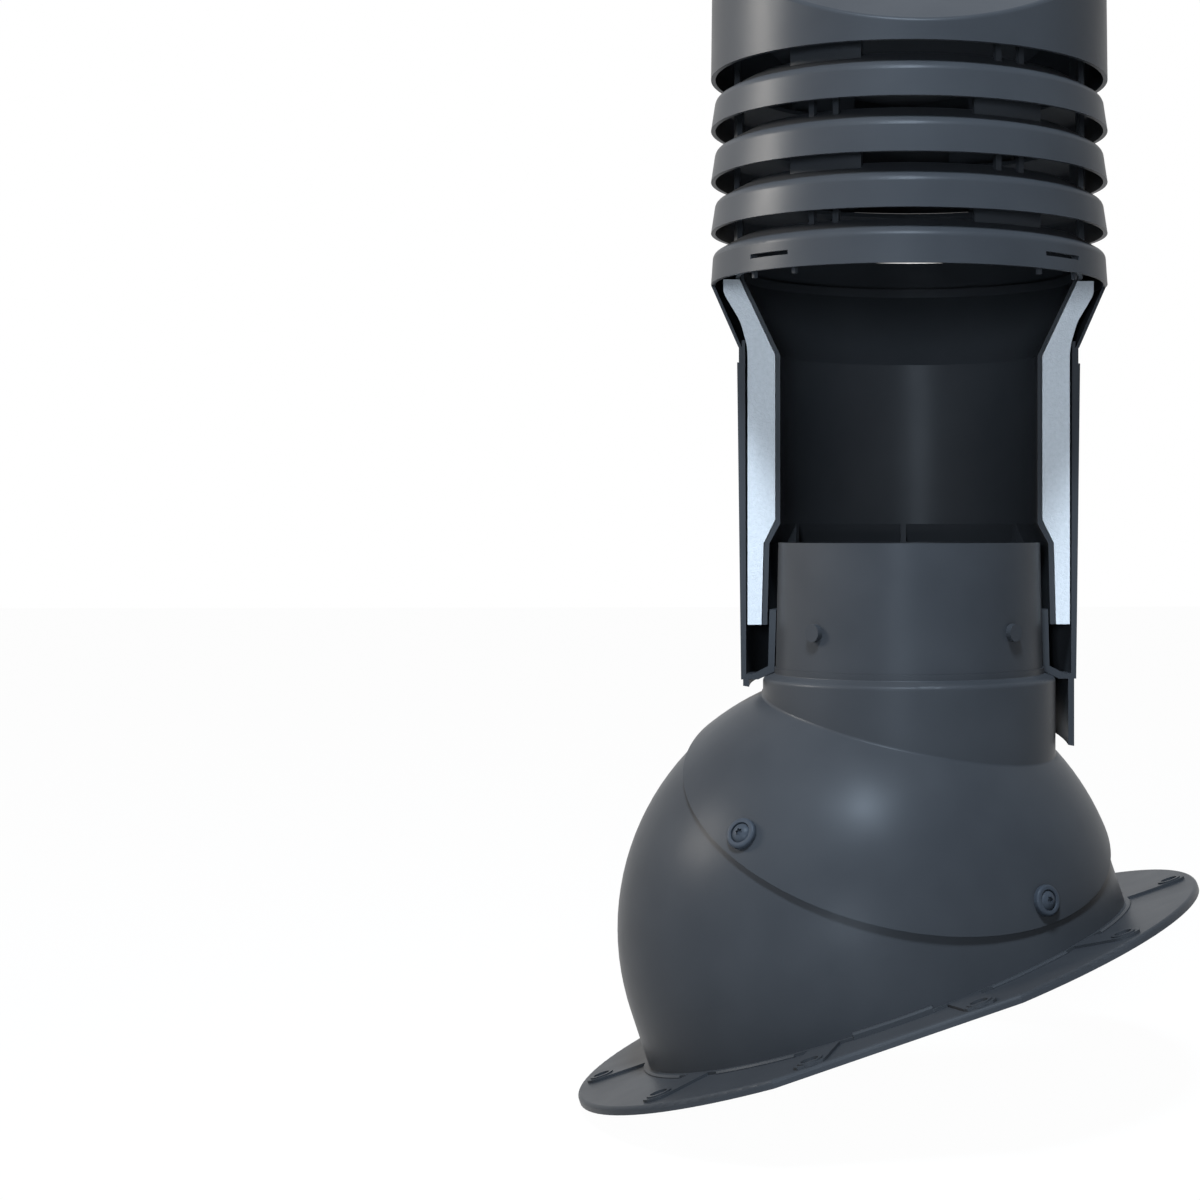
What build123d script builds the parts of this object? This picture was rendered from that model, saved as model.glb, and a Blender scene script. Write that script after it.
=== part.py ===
# Roof vent pipe: an insulated outlet pipe on a turning ball base, shown as a half section.
# The pipe's axis is Z. The origin is the rim of the neck that the pipe stands on.
# The front half (Y below 0) of the cone, both pipes and the insulation is cut away.
# Sizes are in millimetres.

import os
from math import cos, degrees, isclose, radians, sin, sqrt, tan

from build123d import *

os.makedirs("parts", exist_ok=True)

# How much of each cut shell is left, half of it to each side of the back
section_arc = 180.0
back_azimuth = 90.0

# Running clearance between pieces that slip together
fit_gap = 0.3

# How far a cutting tool runs past the face it opens
overrun = 1.0

# Round on the ends of thin edges
edge_round = 0.4

# Duct and inner pipe
duct_r = 75.0
inner_wall = 2.4
inner_socket_r = 81.3
inner_socket_wall = 2.9
inner_socket_draft = 1.2
inner_pipe_bottom = -47.7
inner_step_bottom = -0.5
inner_step_top = 11.0
flare_bottom = 109.0
flare_top = 152.7
flare_inset = 19.0
flare_wall = 2.0
inner_pipe_top = 158.0
stop_rib_count = 6
stop_rib_width = 3.5

# Insulation
insulation_r = 93.9
insulation_gap = 0.5
insulation_head_inset = 7.0
insulation_head_edge = 145.0
insulation_shoulder_r = 98.2
insulation_shoulder = 128.6
insulation_waist = 113.5
insulation_top = 152.7
insulation_edge_round = 10.0
insulation_shoulder_round = 25.0
insulation_waist_round = 40.0

# Outer pipe, with its web, inner sleeve and slanting skirt
outer_r_top = 100.0
outer_r_bottom = 97.7
outer_bore_top = 95.4
outer_bore_bottom = 94.7
outer_neck_r = 99.0
outer_shoulder = 104.6
outer_neck_top = 113.7
tongue_wall = 1.8
tongue_top = 117.5
web_level = -76.4
web_thickness = 3.1
web_slope_in_r = 82.0
web_slope_out_r = 90.8
web_rise = 4.5
sleeve_top = -39.0
sleeve_bore = 77.3
sleeve_wall = 3.9
sleeve_draft = 1.1
skirt_r = 96.5
skirt_wall = 3.5
skirt_mid_level = -101.0
skirt_slope_x = -0.185
skirt_slope_y = 0.130

# Head cone
cone_foot_r = 99.4
cone_wall = 1.9
hook_reach = 14.0
hook_arc = 12.0
hook_top = 160.5

# Louvre head
head_r = 115.0
head_wall = 2.5
head_pitch = 29.55
rim_level = 149.0
ring_count = 3
band_height = 17.0
band_draft = 2.6
rim_draft = 1.2
shoulder_slope = 30.0
crease_r = 5.0
ring_inner_inset = 20.0
post_inset = 16.4
post_depth = 3.0
plate_arc = 25.0
rib_arc = 1.95
rib_spacing = 8.5
station_step = 60.0
slot_level = 156.0
slot_height = 2.4
slot_arc = 14.6
slot_count = 4
slot_rib_offset = 8.1
slot_rib_arc = 1.15
slot_rib_depth = 3.4
slot_rib_drop = 3.0
rim_lip_wall = 2.5
rim_lip_bottom = 153.4

# Cap
facet_low = 278.0
facet_slope = 34.6
crest_r = 26.0
cap_draft = 1.0
cap_edge_r = 3.0

# Neck of the ball dome
neck_bore = 73.5
neck_r_top = 76.1
neck_r_bottom = 77.6
neck_foot = -72.0
neck_bead = 0.7
collar_r = 85.0
collar_top = -80.5
collar_round = 2.6
collar_wall = 3.0
lug_r = 5.0
lug_height = 3.0
lug_level = -50.0
lug_count = 4
lug_window = 1.0

# Ball: the dome turns on the roof base about the seam normal until its screws lock it
ball_x = -23.2
ball_y = 14.8
ball_z = -223.7
dome_r = 150.0
dome_wall = 2.2
shell_gap = 1.1
seam_tilt = 27.0
seam_azimuth = -64.3
seam_height = 82.8
dome_root_round = 1.6

# Locking screws and their cup washers
lock_height = 93.2
lock_azimuth = -163.8
lock_count = 4
lock_washer_r = 8.5
lock_washer_height = 3.4
lock_washer_hole = 5.6
lock_washer_floor = 1.4
lock_washer_round = 1.5
lock_head_r = 5.3
lock_head_height = 3.0
lock_head_crown_r = 3.5
lock_head_crown = 2.35
lock_shank_r = 2.1
lock_shank_length = 16.0
lock_hole_r = 2.5
lock_recess_r = 1.5
lock_lobe_r = 0.6
lock_lobe_count = 6
lock_recess_depth = 1.6

# Roof base: the lower ball, its straight wall and the round flange with two flats
ball_wall = 3.0
ball_overlap = 12.9
roof_pitch = 18.7
roof_azimuth = 172.0
ball_height = 39.5
flange_r = 190.0
flange_flat_cut = 12.0
flange_thickness = 4.4
flange_edge_r = 2.0
flange_corner_r = 110.0
plinth_r = 150.2
plinth_height = 1.6
plinth_high = 3.6
plinth_notch = 1.8
plinth_chamfer = 1.0
notch_width = 34.0
screw_inset = 14.0
front_station = 75.0
side_station = 42.0
screw_hole_r = 2.8
screw_recess_r = 4.8
screw_recess_depth = 1.4
pad_width = 18.0
pad_height = 1.5
boss_r = 6.8
boss_height = 0.7


cone_top = rim_level
flare_r = head_r - flare_inset
insulation_head_r = head_r - insulation_head_inset
ring_inner_r = head_r - ring_inner_inset
post_r = head_r - post_inset
flange_flat = flange_r - flange_flat_cut
quarter = (side_station, front_station, 180 - front_station, 180 - side_station)
screw_stations = (0.0, *quarter, 180.0, *(180 + angle for angle in quarter))
screw_circle_r = flange_r - screw_inset
section_start = back_azimuth - section_arc / 2


def direction(tilt, azimuth):
    """Unit vector that leans by tilt from Z towards the azimuth, both in degrees."""
    t, a = radians(tilt), radians(azimuth)
    return Vector(sin(t) * cos(a), sin(t) * sin(a), cos(t))


def radial_plane(azimuth):
    """Plane through Z whose own X points outwards at the azimuth and whose Y is up."""
    a = radians(azimuth)
    return Plane(origin=(0, 0, 0), x_dir=(cos(a), sin(a), 0), z_dir=(sin(a), -cos(a), 0))


def turned(points, azimuth=0.0, arc=360.0):
    """Solid of a radius and height outline turned about Z, starting at the azimuth."""
    with BuildPart() as solid:
        with BuildSketch(radial_plane(azimuth)):
            with BuildLine():
                Polyline(*points, close=True)
            make_face()
        revolve(axis=Axis.Z, revolution_arc=arc)
    return solid.part


def is_left(azimuth, arc):
    """True if a piece of that arc lies whole in the part of the shells that is left."""
    return abs(azimuth - back_azimuth) <= (section_arc - arc) / 2


def keep(part, name):
    """Label a finished piece and write it out."""
    part.label = name
    export_step(part, f"parts/{name}.step")


ball_centre = Vector(ball_x, ball_y, ball_z)
seam_normal = direction(seam_tilt, seam_azimuth)
roof_normal = direction(roof_pitch, roof_azimuth)
ball_inner_r = dome_r - dome_wall - shell_gap
ball_bore_r = ball_inner_r - ball_wall
roof_x = Vector(0, 1, 0).cross(roof_normal).normalized()
roof_plane = Plane(
    origin=ball_centre - roof_normal * ball_height, x_dir=roof_x, z_dir=roof_normal
)
far = 3 * dome_r


# Inner pipe: bore, flared head, socket over the neck, and ribs that stand on the neck's rim
socket_end_r = inner_socket_r + inner_socket_draft
flare_out_r = flare_r + flare_wall
step_out_r = duct_r + inner_wall
with BuildPart() as inner_pipe:
    with BuildSketch(radial_plane(section_start)):
        with BuildLine():
            Polyline(
                (socket_end_r, inner_pipe_bottom),
                (socket_end_r + inner_socket_wall, inner_pipe_bottom),
                (inner_socket_r + inner_socket_wall, inner_step_bottom),
                (step_out_r, inner_step_top + inner_wall),
                (step_out_r, flare_bottom),
                (flare_out_r, flare_top),
                (flare_out_r, inner_pipe_top),
                (flare_r, inner_pipe_top),
                (flare_r, flare_top),
                (duct_r, flare_bottom),
                (duct_r, inner_step_top),
                (inner_socket_r, inner_step_bottom),
                close=True,
            )
        make_face()
    revolve(axis=Axis.Z, revolution_arc=section_arc)
    rib_half = degrees(stop_rib_width / duct_r) / 2
    for i in range(stop_rib_count):
        rib_azimuth = 360 / stop_rib_count * (i + 0.5)
        if is_left(rib_azimuth, 2 * rib_half):
            add(
                turned(
                    (
                        (duct_r, 0),
                        (inner_socket_r, 0),
                        (inner_socket_r, inner_step_bottom),
                        (inner_socket_r + inner_wall / 2, 0),
                        (step_out_r, inner_step_top),
                        (duct_r, inner_step_top),
                    ),
                    rib_azimuth - rib_half,
                    2 * rib_half,
                )
            )

# Insulation: moulded foam that fills the space between the pipes and swells under the head
with BuildPart() as insulation:
    with BuildSketch(radial_plane(section_start)):
        with BuildLine():
            outside = FilletPolyline(
                (insulation_head_r, insulation_top),
                (insulation_head_r, insulation_head_edge),
                (insulation_shoulder_r, insulation_shoulder),
                (insulation_r, insulation_waist),
                (insulation_r, inner_pipe_bottom),
                radius=[insulation_edge_round, insulation_shoulder_round, insulation_waist_round],
            )
            Polyline(
                outside @ 1,
                (socket_end_r + inner_socket_wall + insulation_gap, inner_pipe_bottom),
                (inner_socket_r + inner_socket_wall + insulation_gap, inner_step_bottom),
                (step_out_r + insulation_gap, inner_step_top + inner_wall),
                (step_out_r + insulation_gap, flare_bottom),
                (flare_out_r + insulation_gap, insulation_top),
                outside @ 0,
            )
        make_face()
    revolve(axis=Axis.Z, revolution_arc=section_arc)

# Outer pipe: wall, neck with its tongue, web, sleeve round the neck and slanting skirt
skirt_foot = skirt_mid_level - far
web_under = web_level - web_thickness
neck_seat_r = web_slope_in_r - sleeve_wall
with BuildPart() as outer_pipe:
    with BuildSketch(radial_plane(section_start)):
        with BuildLine():
            Polyline(
                (outer_bore_top, tongue_top),
                (outer_bore_top + tongue_wall, tongue_top),
                (outer_bore_top + tongue_wall, outer_neck_top),
                (outer_neck_r, outer_neck_top),
                (outer_neck_r, outer_shoulder),
                (outer_r_top, outer_shoulder),
                (outer_r_bottom, web_under),
                (skirt_r, web_under),
                (skirt_r, skirt_foot),
                (skirt_r - skirt_wall, skirt_foot),
                (skirt_r - skirt_wall, web_under),
                (web_slope_out_r - web_thickness, web_under),
                (sleeve_bore + sleeve_draft, web_under + web_rise),
                (sleeve_bore, sleeve_top),
                (sleeve_bore + sleeve_wall, sleeve_top),
                (web_slope_in_r, web_level + web_rise),
                (web_slope_out_r, web_level),
                (outer_bore_bottom, web_level),
                (outer_bore_top, outer_shoulder),
                close=True,
            )
        make_face()
    revolve(axis=Axis.Z, revolution_arc=section_arc)
    slant = Plane(
        origin=(0, 0, skirt_mid_level),
        z_dir=Vector(-skirt_slope_x, -skirt_slope_y, 1).normalized(),
    )
    split(bisect_by=slant, keep=Keep.TOP)
    for i in range(lug_count):
        lug_azimuth = 360 / lug_count * (i + 0.5)
        with BuildSketch(
            Plane(
                origin=(0, 0, lug_level),
                x_dir=(0, 0, 1),
                z_dir=(cos(radians(lug_azimuth)), sin(radians(lug_azimuth)), 0),
            )
        ):
            Circle(lug_r + lug_window)
        extrude(amount=web_slope_in_r + lug_window, mode=Mode.SUBTRACT)

# Head cone: carries the louvre head, stands on the outer pipe's neck and hooks into the rim
cone_rate = (head_r - cone_foot_r) / (cone_top - outer_neck_top)
hook_foot = cone_top - hook_reach / 2
hook_foot_r = head_r - cone_wall / 2 - cone_rate * hook_reach / 2
hook_in_r = head_r - head_wall - rim_draft - fit_gap - cone_wall
with BuildPart() as head_cone:
    with BuildSketch(radial_plane(section_start)):
        with BuildLine():
            Polyline(
                (cone_foot_r - cone_wall, outer_neck_top),
                (cone_foot_r, outer_neck_top),
                (head_r, cone_top),
                (head_r - cone_wall, cone_top),
                close=True,
            )
        make_face()
    revolve(axis=Axis.Z, revolution_arc=section_arc)
    for i in range(slot_count):
        hook_azimuth = 360 / slot_count * (i + 0.5)
        if is_left(hook_azimuth, hook_arc):
            add(
                turned(
                    (
                        (hook_foot_r, hook_foot),
                        (head_r - cone_wall / 2, cone_top),
                        (hook_in_r + cone_wall, cone_top),
                        (hook_in_r + cone_wall, slot_level + fit_gap),
                        (head_r - head_wall / 3, slot_level + fit_gap),
                        (hook_in_r + cone_wall, slot_level + slot_height - fit_gap),
                        (hook_in_r + cone_wall, hook_top),
                        (hook_in_r, hook_top),
                        (hook_in_r, cone_top),
                    ),
                    hook_azimuth - hook_arc / 2,
                    hook_arc,
                )
            )


# Louvre head: each ring is a short skirt under a sloping shoulder
slope = tan(radians(shoulder_slope))
shoulder_drop = head_wall / cos(radians(shoulder_slope))


def corner_r(draft):
    """Radius of the sharp corner between the skirt and the shoulder."""
    return head_r - draft


def shoulder_z(level, draft, radius):
    """Height of the shoulder's upper face at a radius, for a ring whose lower edge is given."""
    return level + band_height + (corner_r(draft) - radius) * slope


def ring_body(level, draft, inner_r):
    """Skirt and shoulder of one ring, as a turned shell with a rounded crease."""
    out_r = corner_r(draft)
    in_r = out_r - head_wall
    with BuildPart() as body:
        with BuildSketch(Plane.XZ):
            with BuildLine():
                FilletPolyline(
                    (head_r, level),
                    (out_r, level + band_height),
                    (inner_r, shoulder_z(level, draft, inner_r)),
                    (inner_r, shoulder_z(level, draft, inner_r) - shoulder_drop),
                    (in_r, shoulder_z(level, draft, in_r) - shoulder_drop),
                    (head_r - head_wall, level),
                    radius=[crease_r, edge_round, edge_round, crease_r - head_wall],
                )
                Line((head_r - head_wall, level), (head_r, level))
            make_face()
        revolve(axis=Axis.Z)
    return body.part


def post(level, own_draft, below_draft, azimuth, arc):
    """Post under a ring: from inside its shoulder down to the shoulder of the piece below."""
    below = level - head_pitch
    r_in, r_out = post_r, post_r + post_depth
    half = shoulder_drop / 2
    return turned(
        (
            (r_in, shoulder_z(below, below_draft, r_in)),
            (r_out, shoulder_z(below, below_draft, r_out)),
            (r_out, shoulder_z(level, own_draft, r_out) - half),
            (r_in, shoulder_z(level, own_draft, r_in) - half),
        ),
        azimuth - arc / 2,
        arc,
    )


def posts(level, own_draft, below_draft, turn):
    """Wide plates and pairs of ribs in turn round the ring, swapped from gap to gap."""
    pieces = []
    for i in range(round(360 / station_step)):
        azimuth = i * station_step
        if (i + turn) % 2 == 0:
            pieces.append(post(level, own_draft, below_draft, azimuth, plate_arc))
        else:
            for side in (-1, 1):
                spot = azimuth + side * rib_spacing / 2
                pieces.append(post(level, own_draft, below_draft, spot, rib_arc))
    return pieces


# Rim: the lowest ring, with the slots for the cone's hooks and a lip round the inner pipe
rim_lip_r = flare_out_r + fit_gap
rib_foot = rim_level - slot_rib_drop
rib_foot_r = head_r - cone_wall - cone_rate * slot_rib_drop - fit_gap
with BuildPart() as base_ring:
    add(ring_body(rim_level, rim_draft, rim_lip_r))
    lip_top_in = shoulder_z(rim_level, rim_draft, rim_lip_r) - shoulder_drop / 2
    lip_top_out = shoulder_z(rim_level, rim_draft, rim_lip_r + rim_lip_wall) - shoulder_drop / 2
    add(
        turned(
            (
                (rim_lip_r, rim_lip_bottom),
                (rim_lip_r + rim_lip_wall, rim_lip_bottom),
                (rim_lip_r + rim_lip_wall, lip_top_out),
                (rim_lip_r, lip_top_in),
            )
        )
    )
    for i in range(slot_count):
        middle = 360 / slot_count * (i + 0.5)
        for side in (-1, 1):
            inner = head_r - head_wall - slot_rib_depth
            outer = head_r - head_wall / 2
            add(
                turned(
                    (
                        (inner, rib_foot),
                        (rib_foot_r, rib_foot),
                        (rib_foot_r, rim_level + fit_gap),
                        (outer, rim_level + fit_gap),
                        (outer, rim_level + band_height / 2),
                        (inner, shoulder_z(rim_level, rim_draft, inner) - shoulder_drop / 2),
                    ),
                    middle + side * slot_rib_offset - slot_rib_arc / 2,
                    slot_rib_arc,
                )
            )
        add(
            turned(
                (
                    (head_r - 2 * head_wall, slot_level),
                    (head_r + head_wall, slot_level),
                    (head_r + head_wall, slot_level + slot_height),
                    (head_r - 2 * head_wall, slot_level + slot_height),
                ),
                middle - slot_arc / 2,
                slot_arc,
            ),
            mode=Mode.SUBTRACT,
        )

# Louvre rings, from the lowest up
louvre_rings = []
for i in range(ring_count):
    ring_level = rim_level + (i + 1) * head_pitch
    with BuildPart() as ring:
        add(ring_body(ring_level, band_draft, ring_inner_r))
        for piece in posts(ring_level, band_draft, band_draft if i else rim_draft, i + 1):
            add(piece)
    louvre_rings.append(ring.part)

# Cap: a drum cut by two sloping facets that meet in a rounded crest
cap_level = rim_level + (ring_count + 1) * head_pitch
facet_rate = tan(radians(facet_slope))
facet_drop = head_wall / cos(radians(facet_slope))
crest = facet_low + head_r * facet_rate


def drum(wall, level):
    """Drum under the two facets, moved inwards by the wall."""
    peak = crest - wall / cos(radians(facet_slope))
    reach = head_r + head_wall
    with BuildPart() as body:
        with BuildSketch(Plane.XZ):
            with BuildLine():
                Polyline(
                    (0, level),
                    (head_r - wall, level),
                    (head_r - wall - cap_draft, crest),
                    (0, crest),
                    close=True,
                )
            make_face()
        revolve(axis=Axis.Z)
        with BuildSketch(Plane.YZ):
            with BuildLine():
                roof = FilletPolyline(
                    (-reach, peak - reach * facet_rate),
                    (0, peak),
                    (reach, peak - reach * facet_rate),
                    radius=crest_r - wall,
                )
                foot = level - overrun
                Polyline(roof @ 1, (reach, foot), (-reach, foot), roof @ 0)
            make_face()
        extrude(amount=reach, both=True, mode=Mode.INTERSECT)
    return body.part


with BuildPart() as cap:
    add(drum(0, cap_level))
    upper_edges = cap.edges().filter_by(lambda e: e.bounding_box().max.Z > facet_low)
    fillet(upper_edges.filter_by(GeomType.LINE, reverse=True), cap_edge_r)
    add(drum(head_wall, cap_level - overrun), mode=Mode.SUBTRACT)
    with BuildPart(mode=Mode.PRIVATE) as cap_posts:
        for i in range(round(360 / station_step)):
            azimuth = i * station_step
            spots = ((azimuth, plate_arc),)
            if (i + ring_count + 1) % 2:
                spots = tuple((azimuth + s * rib_spacing / 2, rib_arc) for s in (-1, 1))
            for spot, arc in spots:
                below = cap_level - head_pitch
                add(
                    turned(
                        (
                            (post_r, shoulder_z(below, band_draft, post_r)),
                            (post_r + post_depth, shoulder_z(below, band_draft, post_r + post_depth)),
                            (post_r + post_depth, crest),
                            (post_r, crest),
                        ),
                        spot - arc / 2,
                        arc,
                    )
                )
        add(drum(head_wall / 2, below), mode=Mode.INTERSECT)
    add(cap_posts.part)


# Ball dome: spherical cap above the seam, with the collar and the neck for the pipe
def lock_direction(i):
    """Direction from the ball's centre to a locking screw."""
    side = Vector(0, 0, 1).cross(seam_normal).normalized()
    front = seam_normal.cross(side)
    lean = sqrt(dome_r**2 - lock_height**2)
    a = radians(lock_azimuth + i * 360 / lock_count)
    return (seam_normal * lock_height + (side * cos(a) + front * sin(a)) * lean).normalized()


seam_plane = Plane(origin=ball_centre + seam_normal * seam_height, z_dir=seam_normal)
neck_cone = (collar_r - neck_r_bottom) * web_rise / (web_slope_out_r - neck_seat_r)
neck_shoulder = collar_top + collar_round
with BuildPart() as ball_dome:
    with Locations(ball_centre):
        Sphere(dome_r)
    split(bisect_by=seam_plane, keep=Keep.TOP)
    with BuildSketch(Plane.XZ):
        with BuildLine():
            FilletPolyline(
                (neck_r_bottom + neck_bead, neck_foot),
                (neck_r_bottom + neck_bead, neck_shoulder + neck_cone - fit_gap),
                (collar_r, neck_shoulder - fit_gap),
                (collar_r, ball_z),
                radius=[neck_bead, collar_round],
            )
            Polyline(
                (collar_r, ball_z),
                (0, ball_z),
                (0, 0),
                (neck_r_top, 0),
                (neck_r_bottom, neck_foot),
                (neck_r_bottom + neck_bead, neck_foot),
            )
        make_face()
    revolve(axis=Axis.Z)
    split(bisect_by=seam_plane, keep=Keep.TOP)
    root = ball_dome.edges().filter_by(
        lambda e: isclose((e @ 0.5 - ball_centre).length, dome_r, abs_tol=fit_gap)
        and isclose(Vector((e @ 0.5).X, (e @ 0.5).Y).length, collar_r, abs_tol=fit_gap)
    )
    fillet(root, dome_root_round)
    for i in range(lug_count):
        lug_azimuth = radians(360 / lug_count * (i + 0.5))
        with BuildSketch(
            Plane(
                origin=(neck_bore * cos(lug_azimuth), neck_bore * sin(lug_azimuth), lug_level),
                z_dir=(cos(lug_azimuth), sin(lug_azimuth), 0),
            )
        ):
            Circle(lug_r)
        extrude(amount=neck_r_bottom - neck_bore + lug_height)
    with Locations(ball_centre):
        Sphere(dome_r - dome_wall, mode=Mode.SUBTRACT)
    with BuildSketch(Plane.XZ):
        with BuildLine():
            Polyline(
                (0, overrun),
                (neck_bore, overrun),
                (neck_bore, neck_shoulder - collar_wall),
                (collar_r - collar_wall, collar_top - collar_wall),
                (collar_r - collar_wall, ball_z),
                (0, ball_z),
                close=True,
            )
        make_face()
    revolve(axis=Axis.Z, mode=Mode.SUBTRACT)
    for i in range(lock_count):
        with BuildSketch(Plane(origin=ball_centre, z_dir=lock_direction(i))):
            Circle(lock_hole_r)
        extrude(amount=dome_r + dome_wall, mode=Mode.SUBTRACT)

# Cup washers: rounded rings that seat on the dome round each screw head
with BuildPart() as washer:
    with BuildSketch(Plane.XZ):
        with BuildLine():
            FilletPolyline(
                (lock_hole_r + fit_gap / 2, 0),
                (lock_washer_r, 0),
                (lock_washer_r, lock_washer_height),
                (lock_washer_hole, lock_washer_height),
                (lock_washer_hole, lock_washer_floor),
                (lock_hole_r + fit_gap / 2, lock_washer_floor),
                radius=[edge_round, lock_washer_round, edge_round, fit_gap / 2],
            )
            Line(
                (lock_hole_r + fit_gap / 2, lock_washer_floor),
                (lock_hole_r + fit_gap / 2, 0),
            )
        make_face()
    revolve(axis=Axis.Z)

# Locking screws: pan heads with a six-lobe recess
with BuildPart() as screw:
    with BuildSketch(Plane.XZ):
        seat = lock_washer_floor
        with BuildLine():
            Polyline((0, seat - lock_shank_length), (lock_shank_r / 3, seat - lock_shank_length))
            Polyline(
                (lock_shank_r / 3, seat - lock_shank_length),
                (lock_shank_r, seat - lock_shank_length + 2 * lock_shank_r),
                (lock_shank_r, seat),
                (lock_head_r, seat),
                (lock_head_r, seat + lock_head_height / 3),
            )
            ThreePointArc(
                (lock_head_r, seat + lock_head_height / 3),
                (lock_head_crown_r, seat + lock_head_crown),
                (0, seat + lock_head_height),
            )
            Line((0, seat + lock_head_height), (0, seat - lock_shank_length))
        make_face()
    revolve(axis=Axis.Z)
    with BuildSketch(Plane.XY.offset(seat + lock_head_height - lock_recess_depth)):
        Circle(lock_recess_r)
        with PolarLocations(lock_recess_r, lock_lobe_count):
            Circle(lock_lobe_r)
    extrude(amount=lock_recess_depth + overrun, mode=Mode.SUBTRACT)

lock_planes = [
    Plane(origin=ball_centre + lock_direction(i) * dome_r, z_dir=lock_direction(i))
    for i in range(lock_count)
]
dome_screws = Compound(children=[plane.location * screw.part for plane in lock_planes])
cup_washers = Compound(children=[plane.location * washer.part for plane in lock_planes])


def ball_body(radius, below):
    """Half ball on a straight round wall that ends below the flange's underside by the depth."""
    equator = Plane(origin=ball_centre, z_dir=roof_normal)
    with BuildPart() as body:
        with Locations(ball_centre):
            Sphere(radius)
        split(bisect_by=equator, keep=Keep.TOP)
        with BuildSketch(equator):
            Circle(radius)
        extrude(amount=-ball_height - below)
    return body.part


# Roof base: lower ball on a straight wall, plinth, flange with two flats and ten screw pads
high_width = 2 * plinth_r * cos(radians(front_station)) - notch_width
with BuildPart() as roof_base:
    add(ball_body(ball_inner_r, 0))
    split(
        bisect_by=Plane(
            origin=ball_centre + seam_normal * (seam_height + ball_overlap), z_dir=seam_normal
        ),
        keep=Keep.BOTTOM,
    )
    with BuildSketch(roof_plane):
        Circle(flange_r)
        outline = Rectangle(2 * flange_r, 2 * flange_flat, mode=Mode.INTERSECT)
        fillet(outline.vertices(), flange_corner_r)
    extrude(amount=flange_thickness)
    flange_edges = roof_base.edges().filter_by(
        lambda e: isclose(roof_plane.to_local_coords(e @ 0.5).Z, flange_thickness, abs_tol=fit_gap)
        and roof_plane.to_local_coords(e @ 0.5).length > flange_flat - overrun
    )
    fillet(flange_edges, flange_edge_r)
    with BuildPart(mode=Mode.PRIVATE) as plinth:
        with BuildSketch(roof_plane):
            Circle(plinth_r)
        extrude(amount=flange_thickness + plinth_high)
        plinth_top = plinth.faces().sort_by(Axis(ball_centre, roof_normal))[-1]
        chamfer(plinth_top.edges(), plinth_chamfer)
        with BuildSketch(roof_plane):
            Rectangle(high_width, 2 * plinth_r)
        extrude(amount=flange_thickness + plinth_high, mode=Mode.INTERSECT)
        with BuildPart(mode=Mode.PRIVATE) as low_plinth:
            with BuildSketch(roof_plane):
                Circle(plinth_r)
            extrude(amount=flange_thickness + plinth_height)
            low_top = low_plinth.faces().sort_by(Axis(ball_centre, roof_normal))[-1]
            chamfer(low_top.edges(), plinth_chamfer)
        add(low_plinth.part)
        with BuildPart(mode=Mode.PRIVATE) as notches:
            with BuildSketch(roof_plane.offset(flange_thickness)):
                for angle in screw_stations:
                    with Locations(Location((0, 0), angle)):
                        with Locations((plinth_r, 0)):
                            Rectangle(2 * plinth_notch, notch_width)
            extrude(amount=plinth_high)
        add(notches.part, mode=Mode.SUBTRACT)
    add(plinth.part)
    with BuildSketch(roof_plane.offset(flange_thickness - flange_edge_r / 2)):
        for angle in screw_stations:
            with Locations(Location((0, 0), angle)):
                with Locations(((screw_circle_r + ball_inner_r) / 2, 0)):
                    SlotCenterToCenter(screw_circle_r - ball_inner_r, pad_width)
        Rectangle(2 * flange_r, 2 * (flange_flat - flange_edge_r), mode=Mode.INTERSECT)
    extrude(amount=flange_edge_r / 2 + pad_height)
    boss_top = flange_thickness + pad_height + boss_height
    with BuildSketch(roof_plane.offset(flange_thickness)):
        for angle in screw_stations:
            with Locations(Location((0, 0), angle)):
                with Locations((screw_circle_r, 0)):
                    Circle(boss_r)
    extrude(amount=pad_height + boss_height)
    with BuildSketch(roof_plane.offset(-overrun)):
        for angle in screw_stations:
            with Locations(Location((0, 0), angle)):
                with Locations((screw_circle_r, 0)):
                    Circle(screw_hole_r)
    extrude(amount=boss_top + 2 * overrun, mode=Mode.SUBTRACT)
    with BuildSketch(roof_plane.offset(boss_top - screw_recess_depth)):
        for angle in screw_stations:
            with Locations(Location((0, 0), angle)):
                with Locations((screw_circle_r, 0)):
                    Circle(screw_recess_r)
    extrude(amount=screw_recess_depth + overrun, mode=Mode.SUBTRACT)
    add(ball_body(ball_bore_r, overrun), mode=Mode.SUBTRACT)
    for i in range(lock_count):
        with BuildSketch(Plane(origin=ball_centre, z_dir=lock_direction(i))):
            Circle(lock_hole_r)
        extrude(amount=dome_r + dome_wall, mode=Mode.SUBTRACT)

keep(roof_base.part, "roof_base")
keep(ball_dome.part, "ball_dome")
keep(dome_screws, "dome_screws")
keep(cup_washers, "cup_washers")
keep(outer_pipe.part, "outer_pipe")
keep(insulation.part, "insulation")
keep(inner_pipe.part, "inner_pipe")
keep(head_cone.part, "head_cone")
keep(base_ring.part, "base_ring")
for number, body in enumerate(louvre_rings, 1):
    keep(body, f"louvre_ring_{number}")
keep(cap.part, "cap")
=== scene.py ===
"""Roof vent pipe, half section: surfaces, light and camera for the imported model.

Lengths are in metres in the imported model's own frame: Z is the pipe's axis and the origin is the
rim of the neck that the pipe stands on.
"""

from math import pi, radians

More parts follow.
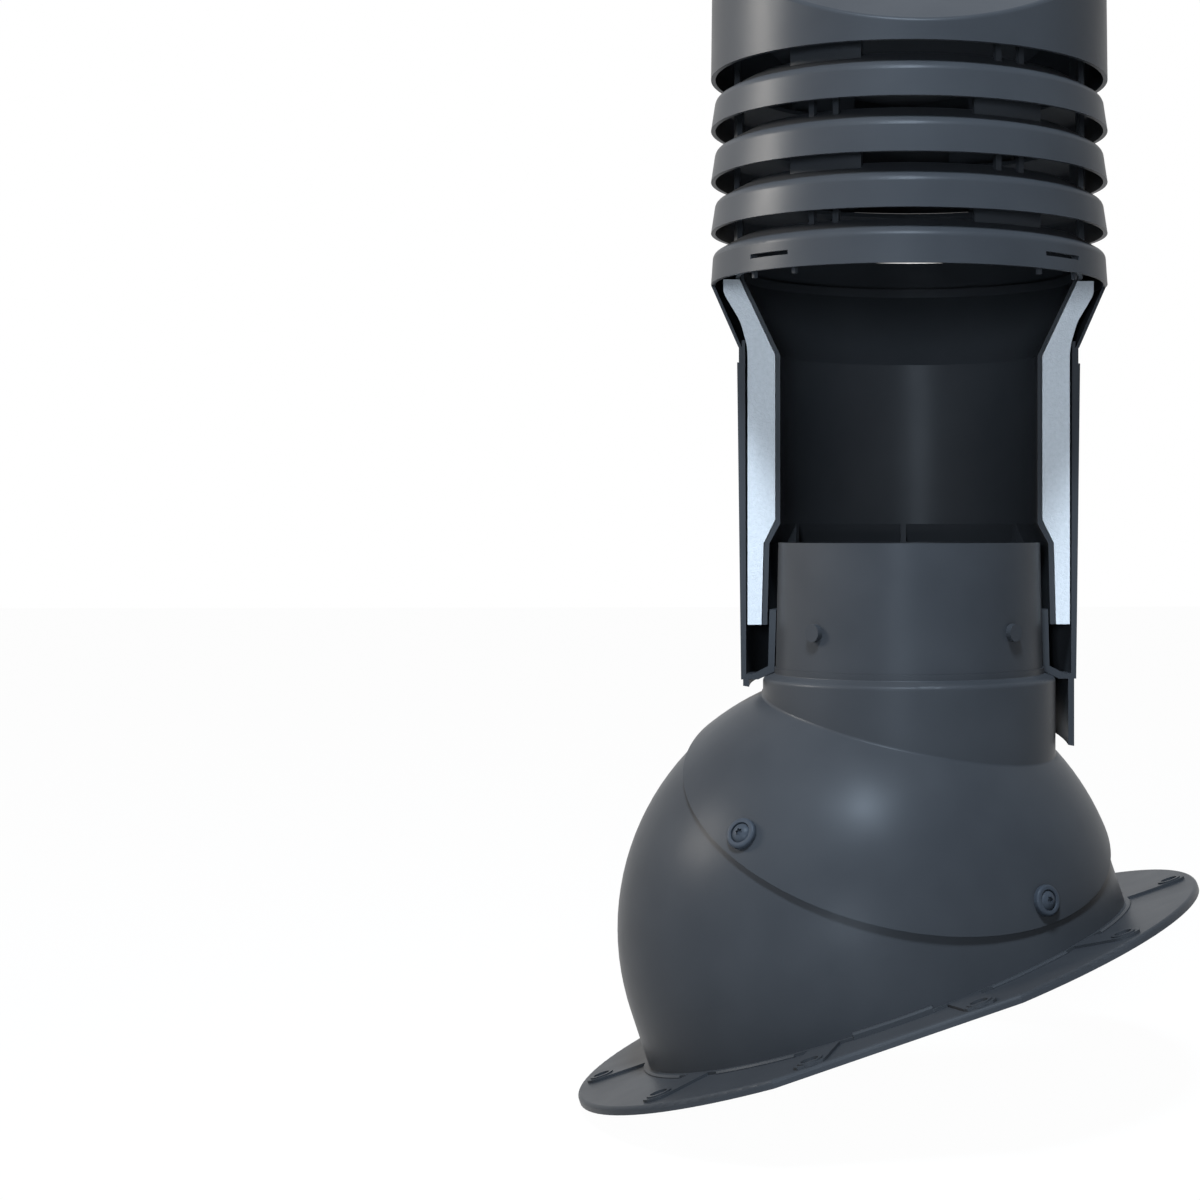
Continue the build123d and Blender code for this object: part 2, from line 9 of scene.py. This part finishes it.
import bpy
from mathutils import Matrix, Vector


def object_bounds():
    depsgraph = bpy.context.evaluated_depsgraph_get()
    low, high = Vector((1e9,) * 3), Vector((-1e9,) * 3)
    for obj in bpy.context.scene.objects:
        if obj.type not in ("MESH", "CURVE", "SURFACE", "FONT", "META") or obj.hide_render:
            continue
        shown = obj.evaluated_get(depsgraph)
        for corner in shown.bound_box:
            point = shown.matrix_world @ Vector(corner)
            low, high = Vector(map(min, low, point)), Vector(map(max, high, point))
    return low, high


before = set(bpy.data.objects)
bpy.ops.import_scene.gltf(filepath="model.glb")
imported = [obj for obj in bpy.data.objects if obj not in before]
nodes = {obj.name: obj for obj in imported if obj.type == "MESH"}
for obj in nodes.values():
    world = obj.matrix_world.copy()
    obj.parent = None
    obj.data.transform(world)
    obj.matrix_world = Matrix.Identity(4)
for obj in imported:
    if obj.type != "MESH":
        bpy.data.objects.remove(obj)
cad_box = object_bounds()

# Camera: level, beside the pipe's axis, with a lens shift that keeps the verticals upright
CAMERA_PLACE = (-0.06069, -1.25714, 0.00720)
CAMERA_PITCH = 0.00066
CAMERA_YAW = 0.03846
LENS_MM = 64.845
SENSOR_MM = 36.0
SHIFT_X = -0.24
SHIFT_Y = -0.0594

# Surface colours, linear
PLASTIC_DARK = (0.021, 0.022, 0.024, 1)
PLASTIC_LIGHT = (0.028, 0.029, 0.031, 1)
FOAM_DARK = (0.39, 0.385, 0.38, 1)
FOAM_LIGHT = (0.45, 0.445, 0.44, 1)
SCREW_DARK = (0.022, 0.025, 0.030, 1)
SCREW_LIGHT = (0.030, 0.034, 0.040, 1)
FLOOR_COLOUR = (0.9, 0.9, 0.9, 1)

# Gloss of the surfaces
PLASTIC_ROUGH = (0.34, 0.42)
SCREW_ROUGH = (0.30, 0.42)
MATT_ROUGH = 0.9
PLASTIC_SPECULAR = 0.05
FOAM_SPECULAR = 0.2

# Surface detail: noise scale, depth of the bump in metres, strength of the bump
TONE_SCALE = 14
TONE_STOPS = (0.3, 0.7)
GRAIN_SCALE, GRAIN_DEPTH, GRAIN_STRENGTH = 2600, 0.00004, 0.5
FLOW_SCALE, FLOW_DEPTH, FLOW_STRENGTH = 45, 0.0003, 0.2
BEAD_SCALE, BEAD_DEPTH, BEAD_STRENGTH = 420, 0.00018, 0.5
FOAM_GRAIN_SCALE, FOAM_GRAIN_DEPTH, FOAM_GRAIN_STRENGTH = 1500, 0.00006, 0.4

# Distance from a bead's edge over which its seam rises, as a share of the bead
BEAD_SEAM = (0.0, 0.12)

# How far the floor shines white for the camera; the rest is its lit surface with the shadow
FLOOR_GLOW = 0.98
FLOOR_REACH = 8.0

# World light on the object
DIM_COLOUR = (0.75, 0.82, 0.9, 1)
DIM_STRENGTH = 0.01


def material(name):
    """New node material: (material, node tree, its Principled BSDF, Object coordinates)."""
    mat = bpy.data.materials.new(name)
    mat.use_nodes = True
    tree = mat.node_tree
    shader = tree.nodes["Principled BSDF"]
    coords = tree.nodes.new("ShaderNodeTexCoord").outputs["Object"]
    return mat, tree, shader, coords


def noise(tree, coords, scale, detail=2.0, roughness=0.5):
    """Noise texture's factor on Object coordinates."""
    node = tree.nodes.new("ShaderNodeTexNoise")
    node.inputs["Scale"].default_value = scale
    node.inputs["Detail"].default_value = detail
    node.inputs["Roughness"].default_value = roughness
    tree.links.new(coords, node.inputs["Vector"])
    return node.outputs["Fac"]


def ramp(tree, factor, low, high):
    """Colour ramp from low to high between the tone stops."""
    node = tree.nodes.new("ShaderNodeValToRGB")
    node.color_ramp.elements[0].position = TONE_STOPS[0]
    node.color_ramp.elements[0].color = low
    node.color_ramp.elements[1].position = TONE_STOPS[1]
    node.color_ramp.elements[1].color = high
    tree.links.new(factor, node.inputs["Fac"])
    return node.outputs["Color"]


def span(tree, factor, low, high, source=(0.0, 1.0)):
    """Factor stretched from the source range to low and high."""
    node = tree.nodes.new("ShaderNodeMapRange")
    node.inputs["From Min"].default_value = source[0]
    node.inputs["From Max"].default_value = source[1]
    node.inputs["To Min"].default_value = low
    node.inputs["To Max"].default_value = high
    tree.links.new(factor, node.inputs["Value"])
    return node.outputs["Result"]


def bump(tree, height, depth, strength, under=None):
    """Bump of the given depth in metres, on top of another bump if there is one."""
    node = tree.nodes.new("ShaderNodeBump")
    node.inputs["Strength"].default_value = strength
    node.inputs["Distance"].default_value = depth
    tree.links.new(height, node.inputs["Height"])
    if under is not None:
        tree.links.new(under, node.inputs["Normal"])
    return node.outputs["Normal"]


def moulded_plastic(name, dark, light, rough):
    """Satin moulded plastic: slow tone changes, fine spark-eroded grain, faint flow waves."""
    mat, tree, shader, coords = material(name)
    slow = noise(tree, coords, TONE_SCALE, 3)
    grain = noise(tree, coords, GRAIN_SCALE, 2, 0.6)
    flow = noise(tree, coords, FLOW_SCALE, 2)
    tree.links.new(ramp(tree, slow, dark, light), shader.inputs["Base Color"])
    tree.links.new(span(tree, flow, *rough), shader.inputs["Roughness"])
    shaped = bump(tree, flow, FLOW_DEPTH, FLOW_STRENGTH)
    shaped = bump(tree, grain, GRAIN_DEPTH, GRAIN_STRENGTH, shaped)
    tree.links.new(shaped, shader.inputs["Normal"])
    shader.inputs["Specular IOR Level"].default_value = PLASTIC_SPECULAR
    return mat


def bead_foam(name):
    """Moulded bead foam: small beads pressed flat against each other, with fine pores."""
    mat, tree, shader, coords = material(name)
    edges = tree.nodes.new("ShaderNodeTexVoronoi")
    edges.feature = "DISTANCE_TO_EDGE"
    edges.inputs["Scale"].default_value = BEAD_SCALE
    tree.links.new(coords, edges.inputs["Vector"])
    tone = noise(tree, coords, BEAD_SCALE, 3, 0.6)
    tree.links.new(ramp(tree, tone, FOAM_DARK, FOAM_LIGHT), shader.inputs["Base Color"])
    shader.inputs["Roughness"].default_value = MATT_ROUGH
    seams = span(tree, edges.outputs["Distance"], 0.0, 1.0, BEAD_SEAM)
    fine = noise(tree, coords, FOAM_GRAIN_SCALE, 3)
    shaped = bump(tree, seams, BEAD_DEPTH, BEAD_STRENGTH)
    shaped = bump(tree, fine, FOAM_GRAIN_DEPTH, FOAM_GRAIN_STRENGTH, shaped)
    tree.links.new(shaped, shader.inputs["Normal"])
    shader.inputs["Specular IOR Level"].default_value = FOAM_SPECULAR
    return mat


plastic = moulded_plastic("dark_moulded_plastic", PLASTIC_DARK, PLASTIC_LIGHT, PLASTIC_ROUGH)
foam = bead_foam("grey_bead_foam")
screw_coat = moulded_plastic("coated_screw", SCREW_DARK, SCREW_LIGHT, SCREW_ROUGH)
finishes = {"insulation": foam, "dome_screws": screw_coat, "cup_washers": screw_coat}

for name, node in nodes.items():
    for slot in node.material_slots:
        slot.material = finishes.get(name, plastic)


def area_light(name, place, target, size, watts, colour, spread):
    """Soft rectangular lamp that looks at a target; its spread is in degrees."""
    lamp = bpy.data.lights.new(name, "AREA")
    lamp.shape = "RECTANGLE"
    lamp.size, lamp.size_y = size
    lamp.energy = watts
    lamp.color = colour
    lamp.spread = radians(spread)
    body = bpy.data.objects.new(name, lamp)
    body.location = place
    aim = Vector(target) - Vector(place)
    body.rotation_euler = aim.to_track_quat("-Z", "Y").to_euler()
    bpy.context.scene.collection.objects.link(body)


# Light: a warm key from the left, a cool one from high in front, and a weak cool front.
# The lamps look at the model's origin or at its head.
MIDDLE = (0, 0, 0)
HEAD = (0, 0, 0.22)
area_light("left_light", (-2.0, 0.12, 0.9), HEAD, (0.5, 0.6), 3.9, (1.0, 0.95, 0.88), 34)
area_light("top_front_light", (-0.12, -1.25, 1.9), MIDDLE, (0.4, 0.4), 30, (0.68, 0.83, 1.0), 90)
area_light("front_light", (-0.45, -2.3, 0.25), MIDDLE, (0.5, 0.5), 9.0, (0.72, 0.85, 1.0), 90)


def white_seen(tree, strength=1.0):
    """Factor of the white that camera, glossy and transmission rays see."""
    path = tree.nodes.new("ShaderNodeLightPath")
    total = path.outputs["Is Camera Ray"]
    for ray in ("Is Glossy Ray", "Is Transmission Ray"):
        join = tree.nodes.new("ShaderNodeMath")
        join.operation = "MAXIMUM"
        tree.links.new(total, join.inputs[0])
        tree.links.new(path.outputs[ray], join.inputs[1])
        total = join.outputs[0]
    scale = tree.nodes.new("ShaderNodeMath")
    scale.operation = "MULTIPLY"
    scale.inputs[1].default_value = strength
    tree.links.new(total, scale.inputs[0])
    return scale.outputs[0]


# Floor: pale, level with the flange's lowest point
lowest = cad_box[0].z
floor_mesh = bpy.data.meshes.new("floor")
corners = [(-1, -1), (1, -1), (1, 1), (-1, 1)]
floor_mesh.from_pydata(
    [(x * FLOOR_REACH, y * FLOOR_REACH, lowest) for x, y in corners], [], [(0, 1, 2, 3)]
)
floor = bpy.data.objects.new("floor", floor_mesh)
bpy.context.scene.collection.objects.link(floor)
floor_mat, tree, shader, coords = material("pale_floor")
shader.inputs["Base Color"].default_value = FLOOR_COLOUR
shader.inputs["Roughness"].default_value = MATT_ROUGH
shader.inputs["Specular IOR Level"].default_value = 0.0
glow = tree.nodes.new("ShaderNodeEmission")
glow.inputs["Strength"].default_value = 1.0
mix = tree.nodes.new("ShaderNodeMixShader")
tree.links.new(white_seen(tree, FLOOR_GLOW), mix.inputs["Fac"])
tree.links.new(shader.outputs["BSDF"], mix.inputs[1])
tree.links.new(glow.outputs["Emission"], mix.inputs[2])
tree.links.new(mix.outputs["Shader"], tree.nodes["Material Output"].inputs["Surface"])
floor_mesh.materials.append(floor_mat)

# World: dim and even for the object, white to the camera
world = bpy.data.worlds.new("studio")
bpy.context.scene.world = world
world.use_nodes = True
tree = world.node_tree
dim = tree.nodes["Background"]
dim.inputs["Color"].default_value = DIM_COLOUR
dim.inputs["Strength"].default_value = DIM_STRENGTH
white = tree.nodes.new("ShaderNodeBackground")
white.inputs["Color"].default_value = (1, 1, 1, 1)
white.inputs["Strength"].default_value = 1.0
mix = tree.nodes.new("ShaderNodeMixShader")
tree.links.new(white_seen(tree), mix.inputs["Fac"])
tree.links.new(dim.outputs["Background"], mix.inputs[1])
tree.links.new(white.outputs["Background"], mix.inputs[2])
tree.links.new(mix.outputs["Shader"], tree.nodes["World Output"].inputs["Surface"])

camera_data = bpy.data.cameras.new("camera")
camera_data.sensor_width = SENSOR_MM
camera_data.lens = LENS_MM
camera_data.shift_x = SHIFT_X
camera_data.shift_y = SHIFT_Y
camera = bpy.data.objects.new("camera", camera_data)
camera.location = CAMERA_PLACE
camera.rotation_euler = (pi / 2 + CAMERA_PITCH, 0, -CAMERA_YAW)
bpy.context.scene.collection.objects.link(camera)
bpy.context.scene.camera = camera

bpy.context.scene.view_settings.view_transform = "Standard"
